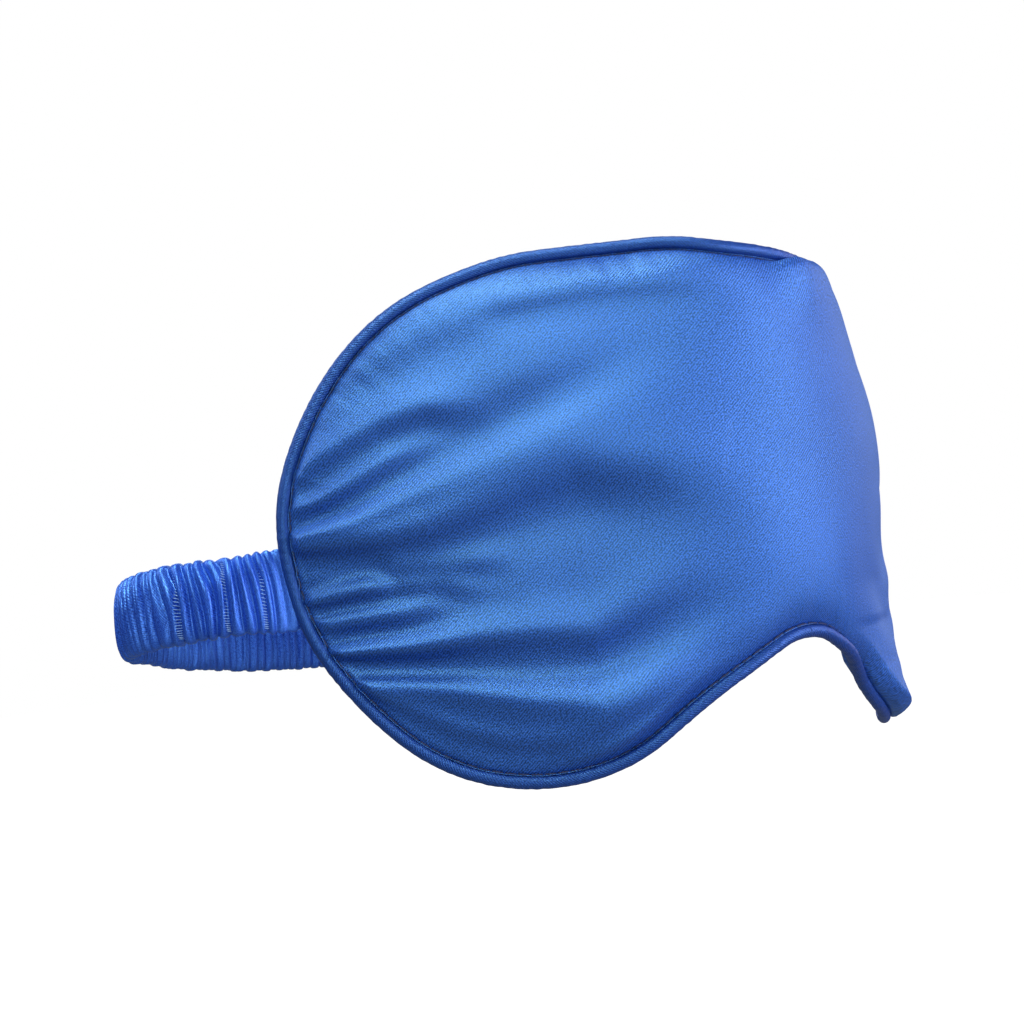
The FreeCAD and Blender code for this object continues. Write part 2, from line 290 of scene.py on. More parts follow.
def place(points, lift):
    """World points, in metres, for pattern points lifted off the seam surface to the front."""
    s, z = points[..., 0], points[..., 1]
    run, turn, x, y = PLAN
    side = np.where(s < 0, -1.0, 1.0)
    reach = np.abs(s)
    angle = np.interp(reach, run, turn)
    lift = lift + settle(s, z)
    px = side * (np.interp(reach, run, x) + lift * np.sin(angle))
    py = np.interp(reach, run, y) - BACK_CROWN - lift * np.cos(angle)
    return np.stack([px, py, z], -1) * MM


def arc_points(x, y, radius, start, end, step=0.4):
    """Points along an arc from start to end, angles in radians."""
    count = max(3, int(abs(end - start) * radius / step))
    angle = np.linspace(start, end, count, endpoint=False)
    return np.stack([x + radius * np.cos(angle), y + radius * np.sin(angle)], -1)


def line_points(first, last, step=0.4):
    first, last = np.array(first, float), np.array(last, float)
    count = max(2, int(np.linalg.norm(last - first) / step))
    share = np.linspace(0, 1, count, endpoint=False)[:, None]
    return first + (last - first) * share


def half_outline():
    """The +X half of the outline on its panel, from the notch round the lobe to the brow."""
    notch_y = NOTCH_TOP - NOTCH_RADIUS
    quarter = math.pi / 2
    flank = (NOTCH_RADIUS * math.sin(FLANK_SLOPE), notch_y + NOTCH_RADIUS * math.cos(FLANK_SLOPE))
    inner_y = LOW_POINT + INNER_RADIUS
    cheek_x = LOW_REACH - INNER_RADIUS * math.sin(FLANK_SLOPE)
    cheek_y = inner_y - INNER_RADIUS * math.cos(FLANK_SLOPE)
    lower_y = LOW_POINT + LOWER_RADIUS
    end_x = LOW_REACH + LOWER_RADIUS
    brow_y = lower_y + END_STRAIGHT
    brow_x = end_x - UPPER_RADIUS
    top = brow_y + UPPER_RADIUS
    drop = top - DIP_HEIGHT
    dip_radius = (DIP_REACH**2 + drop**2) / (4 * drop)
    dip_turn = math.asin(DIP_REACH / 2 / dip_radius)
    return np.vstack([
        arc_points(0, notch_y, NOTCH_RADIUS, quarter, quarter - FLANK_SLOPE),
        line_points(flank, (cheek_x, cheek_y)),
        arc_points(LOW_REACH, inner_y, INNER_RADIUS, -quarter - FLANK_SLOPE, -quarter),
        arc_points(LOW_REACH, lower_y, LOWER_RADIUS, -quarter, 0),
        line_points((end_x, lower_y), (end_x, brow_y)),
        arc_points(brow_x, brow_y, UPPER_RADIUS, 0, quarter),
        line_points((brow_x, top), (DIP_REACH, top)),
        arc_points(DIP_REACH, top - dip_radius, dip_radius, quarter, quarter + dip_turn),
        arc_points(0, DIP_HEIGHT + dip_radius, dip_radius, dip_turn - quarter, -quarter),
        [(0, DIP_HEIGHT)],
    ])


def panel_to_run(reach):
    """Distance s along the seam surface for a distance along the side panel."""
    run, _, x, y = PLAN
    return np.interp(reach, x * math.cos(PANEL_TURN) + y * math.sin(PANEL_TURN), run)


def outline(count):
    """The closed outline as count evenly spaced pattern points, from the notch towards +X."""
    half = half_outline()
    half[:, 0] = panel_to_run(half[:, 0])
    points = np.vstack([half, half[-2:0:-1] * [-1, 1]])
    closed = np.vstack([points, points[:1]])
    length = np.concatenate([[0], np.cumsum(np.linalg.norm(np.diff(closed, axis=0), axis=1))])
    at = np.linspace(0, length[-1], count, endpoint=False)
    even = np.stack([np.interp(at, length, closed[:, i]) for i in (0, 1)], -1)
    for _ in range(max(1, count // 120)):
        even = (np.roll(even, 1, 0) + 2 * even + np.roll(even, -1, 0)) / 4
    trim = np.zeros(count)
    for trims, aside in ((TRIMS, np.abs(even[:, 0])), (FAR_TRIMS, even[:, 0])):
        for reach, height, width, size in trims:
            gap = np.hypot(aside - reach, even[:, 1] - height)
            trim += size * bell(gap / width)
    return even + inward(even) * trim[:, None]


def inward(points):
    """Unit normals of a closed outline, towards its inside."""
    along = unit(np.roll(points, -1, 0) - np.roll(points, 1, 0))
    return np.stack([-along[:, 1], along[:, 0]], -1)


def pattern_grid(columns, rings, inset):
    """Pattern points of a cover in rings, from its edge to its spine. A column of the lower half
    and the one opposite in the upper half end in the same point of the spine."""
    edge = outline(columns)
    edge = edge + inward(edge) * inset
    spine_s = SPINE_REACH * np.sin(circle(columns))
    spine_z = -3.5 + 14 * (1 - smoothstep(np.abs(spine_s) / 50))
    spine = np.stack([spine_s, spine_z], -1)
    share = np.linspace(0, 1, rings)
    share = (0.78 * share**2 + 0.22 * share)[:, None, None]
    return edge[None] * (1 - share) + spine[None] * share


def gathered(grid):
    """The grid of a cover with its edge drawn in and out where the seam gathers it."""
    columns = grid.shape[1]
    run = np.arange(columns) / columns * EDGE_LENGTH
    wave = 0.12 * ripple(run, 5, 51) + 0.1 * ripple(run, 2.6, 52)
    wave = wave + 0.12 * ripple(run, 11, 53)
    edge = grid[0]
    lobe_end = bell((edge[:, 1] - STRAP_HEIGHT) / 26) * (np.abs(edge[:, 0]) > 80)
    wave = np.clip(wave, -0.3, 0.4) * (0.4 + 1.8 * lobe_end)
    shift = (inward(edge) * wave[:, None])[None]
    distance = np.linalg.norm(grid - edge[None], axis=-1, keepdims=True)
    return grid + shift * np.exp(-distance / 3.0)


def edge_distance(grid):
    """Distance of every grid point from the grid's edge."""
    flat = grid.reshape(-1, 2)
    edge = grid[0]
    along = np.roll(edge, -1, 0) - edge
    size = (along**2).sum(1)
    best = np.full(len(flat), 1e9)
    for start, step, square in zip(edge, along, size):
        share = np.clip(((flat - start) @ step) / square, 0, 1)
        gap = flat - start - share[:, None] * step
        best = np.minimum(best, (gap**2).sum(1))
    return np.sqrt(best).reshape(grid.shape[:2])


def crown(distance, height, reach):
    """Height of a padded crown at a distance from its edge."""
    share = np.clip(distance / reach, 0, 1)
    return height * (1 - (1 - share) ** 2.2) ** 0.46


# ---- mesh making

def new_object(name, data):
    """An object in the scene, made of a mesh, a light or a camera."""
    made = bpy.data.objects.new(name, data)
    bpy.context.scene.collection.objects.link(made)
    return made


def new_piece(name, points, faces, material, pattern=None):
    """A smooth mesh object. pattern is each vertex's place on the flat cloth."""
    mesh = bpy.data.meshes.new(name)
    mesh.from_pydata(np.asarray(points).reshape(-1, 3).tolist(), [], [list(f) for f in faces])
    mesh.update()
    mesh.polygons.foreach_set("use_smooth", [True] * len(mesh.polygons))
    if pattern is not None:
        layer = mesh.uv_layers.new(name="pattern")
        corner = np.empty(len(mesh.loops), int)
        mesh.loops.foreach_get("vertex_index", corner)
        flat = np.asarray(pattern).reshape(-1, 2)[corner]
        layer.data.foreach_set("uv", (flat / PATTERN_UNIT).ravel())
    mesh.materials.append(material)
    return new_object(name, mesh)


def ring_faces(columns, rings, first=0, flip=False):
    """Quads between successive closed rings of vertices."""
    faces = []
    for ring in range(rings - 1):
        low = first + ring * columns
        high = low + columns
        for i in range(columns):
            j = (i + 1) % columns
            quad = (low + i, low + j, high + j, high + i)
            faces.append(quad[::-1] if flip else quad)
    return faces


def spine_merge(columns, rings, first=0):
    """The vertex that stands for each vertex of a cover: opposite points of the spine are one."""
    stand = np.arange(columns * rings)
    last = (rings - 1) * columns
    i = np.arange(columns)
    stand[last:] = last + np.minimum(i, (columns // 2 - i) % columns)
    return stand + first


def clean_faces(faces, stand):
    """Faces with merged vertices, without repeats of a vertex inside a face."""
    made = []
    for face in faces:
        loop = list(dict.fromkeys(int(stand[vertex]) for vertex in face))
        if len(loop) > 2:
            made.append(loop)
    return made


def renumbered(faces, count):
    """Which of count vertices the faces use, the new number of each vertex, and the new faces."""
    used = np.unique(np.concatenate([np.array(f) for f in faces]))
    number = np.full(count, -1)
    number[used] = np.arange(len(used))
    return used, number, [[int(number[v]) for v in f] for f in faces]


def facing_faces(columns, rings):
    """Faces of two surfaces over the same grid, and the vertex that stands for each of theirs."""
    count = rings * columns
    faces = ring_faces(columns, rings) + ring_faces(columns, rings, count, flip=True)
    return faces, np.concatenate([spine_merge(columns, rings), spine_merge(columns, rings, count)])


def closed_pad(name, grid, top, bottom, material):
    """A closed solid between two surfaces over the same pattern grid, top towards the front."""
    rings, columns = grid.shape[:2]
    count = rings * columns
    faces, stand = facing_faces(columns, rings)
    for i in range(columns):
        j = (i + 1) % columns
        faces.append((j, i, count + i, count + j))
    used, _, faces = renumbered(clean_faces(faces, stand), 2 * count)
    points = np.concatenate([top.reshape(-1, 3), bottom.reshape(-1, 3)])
    pattern = np.tile(grid.reshape(-1, 2), (2, 1))
    return new_piece(name, points[used], faces, material, pattern[used])


def tube_faces(count, around, closed, first=0, flip=False):
    """Faces of a tube of count rings, each of around vertices."""
    faces = []
    for i in range(count if closed else count - 1):
        low = first + i * around
        high = first + (i + 1) % count * around
        for k in range(around):
            m = (k + 1) % around
            quad = (low + k, high + k, high + m, low + m)
            faces.append(quad[::-1] if flip else quad)
    return faces


def end_faces(count, around):
    """The faces that close the two ends of an open tube."""
    last = (count - 1) * around
    return [tuple(range(around))[::-1], tuple(range(last, last + around))]


def tube_mesh(line, across, up, radii, closed):
    """Points, faces and pattern of a tube round a line. radii[i, k] is its radius in metres."""
    count, around = radii.shape
    angle = circle(around)
    ring = across[:, None] * np.cos(angle)[None, :, None] + up[:, None] * np.sin(angle)[None, :, None]
    points = (line[:, None] + ring * radii[..., None]).reshape(-1, 3)
    faces = tube_faces(count, around, closed)
    if not closed:
        faces += end_faces(count, around)
    step = np.linalg.norm(np.diff(line, axis=0), axis=1) / MM
    run = np.concatenate([[0], np.cumsum(step)])
    turn = angle * radii.mean() / MM
    pattern = pairs(run, turn).reshape(-1, 2)
    return points, faces, pattern


def joined(name, parts, material):
    """One object from several (points, faces, pattern) meshes."""
    points, faces, pattern = [], [], []
    total = 0
    for part_points, part_faces, part_pattern in parts:
        points.append(part_points)
        pattern.append(part_pattern)
        faces += [[v + total for v in face] for face in part_faces]
        total += len(part_points)
    return new_piece(name, np.concatenate(points), faces, material, np.concatenate(pattern))


def ripple(run, wavelength, seed):
    """A smooth random wave along the edge, from -1 to 1."""
    dice = np.random.default_rng(seed)
    waves = max(2, int(EDGE_LENGTH / wavelength))
    total = np.zeros_like(run)
    for k in range(max(1, waves // 2), waves + waves // 2):
        total += dice.normal() * np.sin(2 * math.pi * k * run / EDGE_LENGTH + dice.uniform(0, 2 * math.pi))
    return total / (np.abs(total).max() + 1e-9)


def noise_field(s, z, wavelength, seed):
    """A smooth random surface over the pattern, about -1 to 1."""
    dice = np.random.default_rng(seed)
    count = 40
    total = np.zeros_like(s)
    for _ in range(count):
        angle = dice.uniform(0, 2 * math.pi)
        turn = 2 * math.pi / (wavelength * dice.uniform(0.7, 1.6))
        phase = dice.uniform(0, 2 * math.pi)
        total += np.sin(turn * (s * math.cos(angle) + z * math.sin(angle)) + phase)
    return total / math.sqrt(count) / 1.4


# ---- padded covers

# Folds of the front satin where the strap pulls at the end of a lobe. Each line is the middle of
# a slope that runs from the edge inwards through points (distance from the middle, height). Then
# come the height of the slope, which is positive where it faces up and negative where it faces
# down, and its half width at the edge and at its inner end.
FOLDS = [
    ([(86, 30), (75, 36.5), (57, 41.5), (38, 42.5), (19, 41.5), (6, 41)], -0.35, 5, 5.5),
    ([(57, 42), (38, 42.8), (19, 42), (6, 41.5)], -0.4, 4, 5),
    ([(92, 28), (79, 28.5), (61, 31), (34, 33.5), (10, 34)], 0.22, 4, 9),
    ([(101, 12), (97, 14.5), (90.5, 17.4), (84, 20), (75, 22), (68, 21.8), (60, 21.5)], -0.85, 3, 4.5),
    ([(103, 6), (97, 7), (90, 9.8), (83, 13), (71, 17.5)], -0.5, 1.8, 3.6),
    ([(104, 2.2), (92, 4.5), (77, 10), (56, 17.5), (32, 25.5), (8, 31)], 0.85, 1.5, 9),
    ([(103, -2.5), (92, -2.7), (84, -2.8), (76, -2), (67, 0.4), (57, 3.6), (47, 5.6), (33, 4),
      (20, -1), (6, -3)], -1.35, 2.8, 12),
    ([(103, -10), (95, -8.8), (88, -7.6), (84, -7.2)], 0.42, 1.8, 2.6),
    ([(84, -8), (79, -8.2), (74, -8.7), (66, -8.8), (58, -8)], -0.6, 3.0, 4),
    ([(103, -13), (92, -12), (84, -11.6), (77, -11.8), (70, -13.4), (58, -14.4)], -0.45, 1.3, 3.5),
    ([(102, -15.5), (88, -14.2), (78, -13.6)], 0.3, 1.2, 3),
    ([(101, -17.9), (84, -18), (74, -16)], -0.35, 1.3, 3.5),
    ([(99, -21.5), (79, -20), (66, -18.6)], 0.5, 1.7, 4),
    ([(99, -23.6), (81, -24.8), (69, -24.4), (57, -24.8), (46, -26), (35, -22), (25, -17),
      (14, -13)], -0.95, 1.6, 8),
    ([(97, -27.6), (76, -30), (58, -33.4), (46, -34.6), (36, -31), (26, -26), (15, -22),
      (7, -20)], 0.88, 2.4, 6.5),
    ([(94, -31), (84, -36.5), (76, -41), (66, -44.6), (54, -46), (46, -43), (36, -38.6),
      (26, -34), (15, -28.5)], -0.33, 2, 4),
]

# One over the largest value of x exp(-x * x)
SLOPE_PEAK = 2.33


def fold_lift(s, z, scale, shift):
    """Height that the folds add at pattern points."""
    reach = np.abs(s)
    total = np.zeros_like(s)
    for route, height, start_width, end_width in FOLDS:
        route = np.array(route, float) + [0, shift]
        steps = np.diff(route, axis=0)
        sizes = np.linalg.norm(steps, axis=1)
        before = np.concatenate([[0], np.cumsum(sizes)])
        nearest = np.full(s.shape, 1e9)
        along = np.zeros_like(s)
        above = np.zeros_like(s)
        for first, step, size, passed in zip(route, steps, sizes, before):
            right, rise = reach - first[0], z - first[1]
            share = np.clip((right * step[0] + rise * step[1]) / size**2, 0, 1)
            gap = np.hypot(right - share * step[0], rise - share * step[1])
            closer = gap < nearest
            nearest = np.where(closer, gap, nearest)
            along = np.where(closer, (passed + share * size) / before[-1], along)
            above = np.where(closer, (right * step[1] - rise * step[0]) / size, above)
        width = start_width + (end_width - start_width) * along
        fade = 1 - smoothstep((along - 0.6) / 0.4)
        slope = above / width * bell(nearest / width)
        total -= scale * height * fade * SLOPE_PEAK * slope
    return total


def cubic(table, at, axis, wrap):
    """Values of a table between its entries along one axis, on a smooth curve through them."""
    size = table.shape[axis]
    low = np.floor(at).astype(int)
    shape = [1] * table.ndim
    shape[axis] = len(at)
    t = (at - low).reshape(shape)
    parts = []
    for offset in (-1, 0, 1, 2):
        index = low + offset
        index = index % size if wrap else np.clip(index, 0, size - 1)
        parts.append(np.take(table, index, axis))
    a, b, c, d = parts
    return b + 0.5 * t * (c - a + t * (2 * a - 5 * b + 4 * c - d + t * (3 * (b - c) + d - a)))


def finer(values, rings, columns):
    """Values on a coarse ring grid, brought to a finer one."""
    coarse_rings, coarse_columns = values.shape[:2]
    ring_at = np.linspace(0, coarse_rings - 1, rings)
    column_at = np.arange(columns) * coarse_columns / columns
    return cubic(cubic(values, ring_at, 0, False), column_at, 1, True)


def simulate(front, back):
    """Lets the two covers puff up as one sewn bag of cloth, held at the seam.
    Returns how far each grid point moved, in metres."""
    rings, columns = front.shape[:2]
    count = rings * columns
    faces, stand = facing_faces(columns, rings)
    stand[count:count + columns] = np.arange(columns)
    used, number, faces = renumbered(clean_faces(faces, stand), 2 * count)
    rest = np.concatenate([front.reshape(-1, 3), back.reshape(-1, 3)])
    mesh = bpy.data.meshes.new("cloth_bag")
    mesh.from_pydata(rest[used].tolist(), [], faces)
    bag = new_object("cloth_bag", mesh)
    scene = bpy.context.scene
    seam = bag.vertex_groups.new(name="seam")
    seam.add([int(number[i]) for i in range(columns)], 1.0, "REPLACE")
    cloth = bag.modifiers.new("cloth", "CLOTH")
    for key, value in CLOTH.items():
        setattr(cloth.settings, key, value)
    cloth.settings.vertex_group_mass = "seam"
    cloth.settings.effector_weights.gravity = 0
    cloth.collision_settings.use_collision = False
    scene.frame_start = 1
    scene.frame_end = SIM_FRAMES
    for frame_number in range(1, SIM_FRAMES + 1):
        scene.frame_set(frame_number)
    graph = bpy.context.evaluated_depsgraph_get()
    settled = bag.evaluated_get(graph).to_mesh()
    moved = np.empty(len(settled.vertices) * 3)
    settled.vertices.foreach_get("co", moved)
    bpy.data.objects.remove(bag)
    scene.frame_set(1)
    moved = moved.reshape(-1, 3)[number[stand]] - rest
    moved[count:count + columns] = 0
    return moved[:count].reshape(front.shape), moved[count:].reshape(back.shape)


def cap(move, limit):
    """Shortens moves smoothly so that none is longer than limit."""
    size = np.linalg.norm(move, axis=-1, keepdims=True)
    return move * limit * np.tanh(size / limit) / (size + 1e-12)


def calm(move):
    """Moves without the finest wrinkles of the coarse cloth."""
    for _ in range(6):
        move = (np.roll(move, 1, 1) + 2 * move + np.roll(move, -1, 1)) / 4
        inside = (move[:-2] + 2 * move[1:-1] + move[2:]) / 4
        move = np.concatenate([move[:1], inside, move[-1:]])
    return move


def cover_lift(grid, distance, front):
    """Height of a cover above the seam surface, without its folds."""
    s, z = grid[..., 0], grid[..., 1]
    if front:
        body = crown(distance, FRONT_CROWN, FRONT_CROWN_REACH)
        body = body + 0.35 * noise_field(s, z, 46, 3) * smoothstep(distance / 18)
        return body + nose_puff(s, z, distance) + brow_roll(s, z, distance)[1] - EDGE_SINK
    body = crown(distance, BACK_CROWN, BACK_CROWN_REACH)
    body = body + 0.25 * noise_field(s, z, 38, 5) * smoothstep(distance / 15)
    return EDGE_SINK - body


def cover_shape(grid, distance, front):
    """Height of a cover above the seam surface, with its folds."""
    s, z = grid[..., 0], grid[..., 1]
    held = (0.25 + 0.75 * smoothstep(distance / 2.5)) * smoothstep((np.abs(s) - 2) / 10)
    if front:
        folds = np.where(s < 0, fold_lift(s, z, *NEAR_FOLDS), fold_lift(s, z, *FAR_FOLDS))
    else:
        folds = fold_lift(s, z, *LINING_FOLDS)
    plain = cover_lift(grid, distance, front)
    folds = folds * held * np.sign(plain)
    height = np.abs(plain) + 0.05
    folded = np.where(folds > 0, height + folds, height * np.exp(np.minimum(folds, 0) / height))
    return (folded - 0.05) * np.sign(plain)


def seam_pucker(grid, distance, seed):
    """Small ripples where the cloth is gathered into the seam."""
    columns = grid.shape[1]
    run = np.arange(columns) / columns * EDGE_LENGTH
    wave = 0.16 * ripple(run, 6.5, seed) + 0.08 * ripple(run, 3.0, seed + 1)
    lobe_end = bell((grid[0, :, 1] - STRAP_HEIGHT) / 14) * (np.abs(grid[0, :, 0]) > 85)
    wave = wave * (1 + 1.2 * lobe_end)
    return wave[None] * np.exp(-distance / 5) * smoothstep(distance / 0.8)


def cover_shell(name, grid, outer, material, front):
    """A cover as a thin closed shell of cloth under its outer face."""
    depth = unit(place(grid, 1) - place(grid, 0)) * CLOTH_DEPTH * MM
    if front:
        return closed_pad(name, grid, outer, outer - depth, material)
    return closed_pad(name, grid, outer + depth, outer, material)


def make_covers(front_material, lining_material):
    """The two satin covers: puffed by the cloth simulation, then folded where the strap pulls."""
    coarse = pattern_grid(SIM_COLUMNS, SIM_RINGS, COVER_INSET)
    coarse_distance = edge_distance(coarse)
    front = place(coarse, cover_lift(coarse, coarse_distance, True))
    back = place(coarse, cover_lift(coarse, coarse_distance, False))
    back[0] = front[0]
    grid = pattern_grid(COLUMNS, RINGS, COVER_INSET)
    distance = edge_distance(grid)
    grid = gathered(grid)
    moves = [finer(calm(cap(m, SIM_REACH * MM)), RINGS, COLUMNS) for m in simulate(front, back)]
    front_lift = cover_shape(grid, distance, True) + seam_pucker(grid, distance, 11)
    back_lift = cover_shape(grid, distance, False) - seam_pucker(grid, distance, 21)
    outer = place(grid, front_lift) + moves[0]
    outer[..., 2] += brow_roll(grid[..., 0], grid[..., 1], distance)[0] * MM
    cover = cover_shell("satin_front", grid, outer, front_material, True)
    lining = cover_shell("satin_lining", grid, place(grid, back_lift) + moves[1], lining_material, False)
    return cover, lining


def make_layers(wadding, blackout):
    """The padding and the blackout cloth inside the covers."""
    grid = pattern_grid(LAYER_COLUMNS, LAYER_RINGS, LAYER_INSET)
    distance = edge_distance(grid)
    rough = 0.12 * noise_field(grid[..., 0], grid[..., 1], 7, 31)

    def layer(name, low, high, material):
        return closed_pad(name, grid, place(grid, high), place(grid, low), material)

    front_top = np.maximum(cover_shape(grid, distance, True) - 1.5 + rough, 0.6)
    back_low = np.minimum(cover_shape(grid, distance, False) + 1.4 + rough, -0.25)
    return [
        layer("pad_front", 0.5, front_top, wadding),
        layer("blackout_cloth", 0.1, 0.4, blackout),
        layer("pad_back", back_low, -0.1, wadding),
    ]


# ---- edge

def edge_line(count, inset, lift):
    """A closed line along the edge, with its directions across the edge and off the surface."""
    flat = outline(count)
    turn = inward(flat)
    flat = flat + turn * inset
    line = place(flat, lift)
    across = unit(place(flat + turn * 0.1, lift) - line)
    along = unit(np.roll(line, -1, 0) - np.roll(line, 1, 0))
    up = unit(np.cross(along, across))
    return line, np.cross(up, along), up


def flange_mesh(count):
    """The flat edge of the piping's cover, sewn in between the two satin covers."""
    corners = ((FLANGE_FROM, 0.1), (FLANGE_TO, 0.1), (FLANGE_TO, -0.1), (FLANGE_FROM, -0.1))
    points = np.stack([edge_line(count, inset, lift)[0] for inset, lift in corners], 1).reshape(-1, 3)
    run = np.arange(count) / count * EDGE_LENGTH
    pattern = pairs(run, np.array(corners)[:, 0]).reshape(-1, 2)
    return points, tube_faces(count, 4, True, flip=True), pattern


def make_piping(satin, cotton):
    """The satin-covered cord in the edge seam, and the twisted cord inside it."""
    line = edge_line(PIPING_STEPS, PIPING_INSET, 0)
    run = np.arange(PIPING_STEPS) / PIPING_STEPS * EDGE_LENGTH
    angle = circle(PIPING_AROUND)
    pucker = 0.05 * ripple(run, 3.2, 41) + 0.04 * ripple(run, 7, 42)
    slant = 0.035 * np.sin(run[:, None] * 2 * math.pi / 2.1 + angle[None])
    swell = ripple(run, 30, 43)[:, None] * 0.5 + 0.5
    radii = (PIPING_RADIUS + pucker[:, None] + slant * swell) * MM
    parts = [tube_mesh(*line, radii, True), flange_mesh(FLANGE_STEPS)]
    cover = joined("piping_sleeve", parts, satin)
    line = edge_line(CORD_STEPS, PIPING_INSET, 0)
    run = circle(CORD_STEPS)
    angle = circle(CORD_AROUND)
    strands = np.abs(np.cos(1.5 * (angle[None] - CORD_TWISTS * run[:, None])))
    radii = (CORD_RADIUS + CORD_STRAND * strands) * MM
    core = joined("piping_core", [tube_mesh(*line, radii, True)], cotton)
    return cover, core


def stitch(first, last, radius, around=6):
    """A small thread from first to last, rounded at both ends."""
    first, last = np.array(first), np.array(last)
    along = last - first
    length = np.linalg.norm(along)
    along = along / length
    aside = np.cross(along, [0.3, 0.5, 0.8])
    aside /= np.linalg.norm(aside)
    up = np.cross(along, aside)
    share = np.array([0, 0.12, 0.35, 0.65, 0.88, 1])
    size = np.array([0.35, 0.85, 1, 1, 0.85, 0.35]) * radius
    line = first[None] + (last - first)[None] * share[:, None]
    count = len(share)
    radii = np.repeat(size[:, None], around, 1)
    return tube_mesh(line, np.repeat(aside[None], count, 0), np.repeat(up[None], count, 0), radii, False)


def make_edge_stitches(thread):
    """The row of stitches that closes the edge seam, in the groove beside the piping. Its near-black thread
    is painted shade of the groove.
    """
    line = edge_line(EDGE_STITCHES * 8, STITCH_INSET, 0.45)[0]
    parts = []
    for i in range(0, len(line), 8):
        parts.append(stitch(line[i], line[i + 7], EDGE_THREAD * MM))
    return joined("edge_seam", parts, thread)


# ---- strap

def strap_path(count):
    """Centre line of the strap from its +X end round the back to its -X end, directions away from
    the head, and the distances along it and to its nearer end, in millimetres."""
    start = np.array(STRAP_FROM)
    first = STRAP_HEADING
    temple = start + TEMPLE_RADIUS * np.array([-math.sin(first), math.cos(first)])
    back_start = first + TEMPLE_TURN
    back_radius = temple[0] / math.sin(back_start) + TEMPLE_RADIUS
    back_y = temple[1] - (TEMPLE_RADIUS - back_radius) * math.cos(back_start)
    temple_run = TEMPLE_RADIUS * TEMPLE_TURN
    half_run = temple_run + back_radius * (math.pi - back_start)
    run = np.linspace(0, 2 * half_run, count)
    side = np.where(run <= half_run, 1.0, -1.0)
    near = np.minimum(run, 2 * half_run - run)
    in_temple = near < temple_run
    back_heading = back_start + (near - temple_run) / back_radius
    heading = np.where(in_temple, first + near / TEMPLE_RADIUS, back_heading)
    radius = np.where(in_temple, TEMPLE_RADIUS, back_radius)
    centre_x = np.where(in_temple, temple[0], 0.0)
    centre_y = np.where(in_temple, temple[1], back_y)
    outward = np.stack([side * np.sin(heading), -np.cos(heading), 0 * run], -1)
    x = side * (centre_x + radius * np.sin(heading))
    y = centre_y - radius * np.cos(heading)
    deep = (y - start[1]) / (back_y + back_radius - start[1])
    fall = STRAP_FALL * np.clip(deep, 0, 1) ** 2
    line = np.stack([x, y, STRAP_HEIGHT - fall], -1)
    return line, outward, run, near


def gather(run, angle):
    """Height of the gathers, from 0 in a crease to about 1 on a ridge."""
    dice = np.random.default_rng(17)
    stretch = np.zeros_like(run)
    for k in range(1, 24):
        size = dice.normal() * 0.6 / k**0.5
        stretch += size * np.sin(2 * math.pi * k * run / run.max() + dice.uniform(0, 6.3))
    far = 1 - smoothstep((run / run.max() - 0.4) / 0.2)
    step = GATHER_STEP + FAR_GATHER_STEP * far
    phase = np.cumsum(np.gradient(run + 1.3 * stretch) / step)
    wobble = np.zeros((len(run), len(angle)))
    for _ in range(46):
        k = dice.integers(1, 3)
        turn = 2 * math.pi / dice.uniform(9, 40)
        shift = dice.uniform(0, 2 * math.pi)
        wobble += dice.normal() * np.sin(k * angle[None] + turn * run[:, None] + shift) / k
    wobble *= 0.026
    side = np.tanh((run - run.max() / 2) / 50)[:, None]
    lean = side * (0.34 * np.cos(angle)[None] + 0.2 * np.cos(2 * angle)[None])
    turn = 2 * math.pi * (phase[:, None] + wobble + lean)
    number = np.floor(turn / (2 * math.pi)).astype(int)
    within = turn / (2 * math.pi) - number
    within = np.where(side > 0, within, 1 - within)
    ridge = np.sin(math.pi * within**1.3) ** 0.9
    heights = dice.uniform(0.5, 1.0, number.max() - number.min() + 2)
    ridge = ridge * heights[number - number.min()]
    small = np.abs(np.sin(turn * 1.5 + 4 * wobble + 1.0)) ** 0.8
    patch = smoothstep(0.5 + 0.5 * np.sin(run[:, None] * 0.21 + 2 * angle[None] + 1.0))
    return ridge + 0.16 * small * patch


def sleeve_rings(line, outward, run, near):
    """Outer ring points of the ruffled sleeve, in metres, as an array [along, around, 3]."""
    angle = circle(SLEEVE_AROUND)
    cosine, sine = np.cos(angle), np.sin(angle)
    rise = np.sign(cosine) * np.abs(cosine) ** 0.92
    bulge = np.sign(sine) * np.abs(sine) ** 0.62
    ridge = gather(run, angle)
    loose = smoothstep((near - 3) / 10)[:, None]
    face = np.where(sine > 0, 1.0, 0.7)[None]
    body = 0.75 + 0.35 * loose
    thick = body + face * (0.5 + 1.5 * loose) * ridge
    height = STRAP_WIDTH / 2 - 0.9 + 0.6 * (1 - loose) + 0.9 * ridge * (0.6 + 0.4 * loose)
    points = line[:, None] + outward[:, None] * (bulge[None] * thick)[..., None]
    points[..., 2] += rise[None] * height
    return points * MM, ridge, angle


def shell_part(rings, low, high):
    """A thin closed tube of cloth made of some of the rings."""
    outer = rings[low:high + 1]
    across = outer - outer.mean(1, keepdims=True)
    size = np.linalg.norm(across, axis=-1, keepdims=True)
    inner = outer - across / size * np.minimum(0.3 * MM, size * 0.4)
    count, around = outer.shape[:2]
    total = count * around
    faces = tube_faces(count, around, False) + tube_faces(count, around, False, total, flip=True)
    last = (count - 1) * around
    for k in range(around):
        m = (k + 1) % around
        faces.append((k, m, total + m, total + k))
        faces.append((last + m, last + k, total + last + k, total + last + m))
    return np.concatenate([outer.reshape(-1, 3), inner.reshape(-1, 3)]), faces


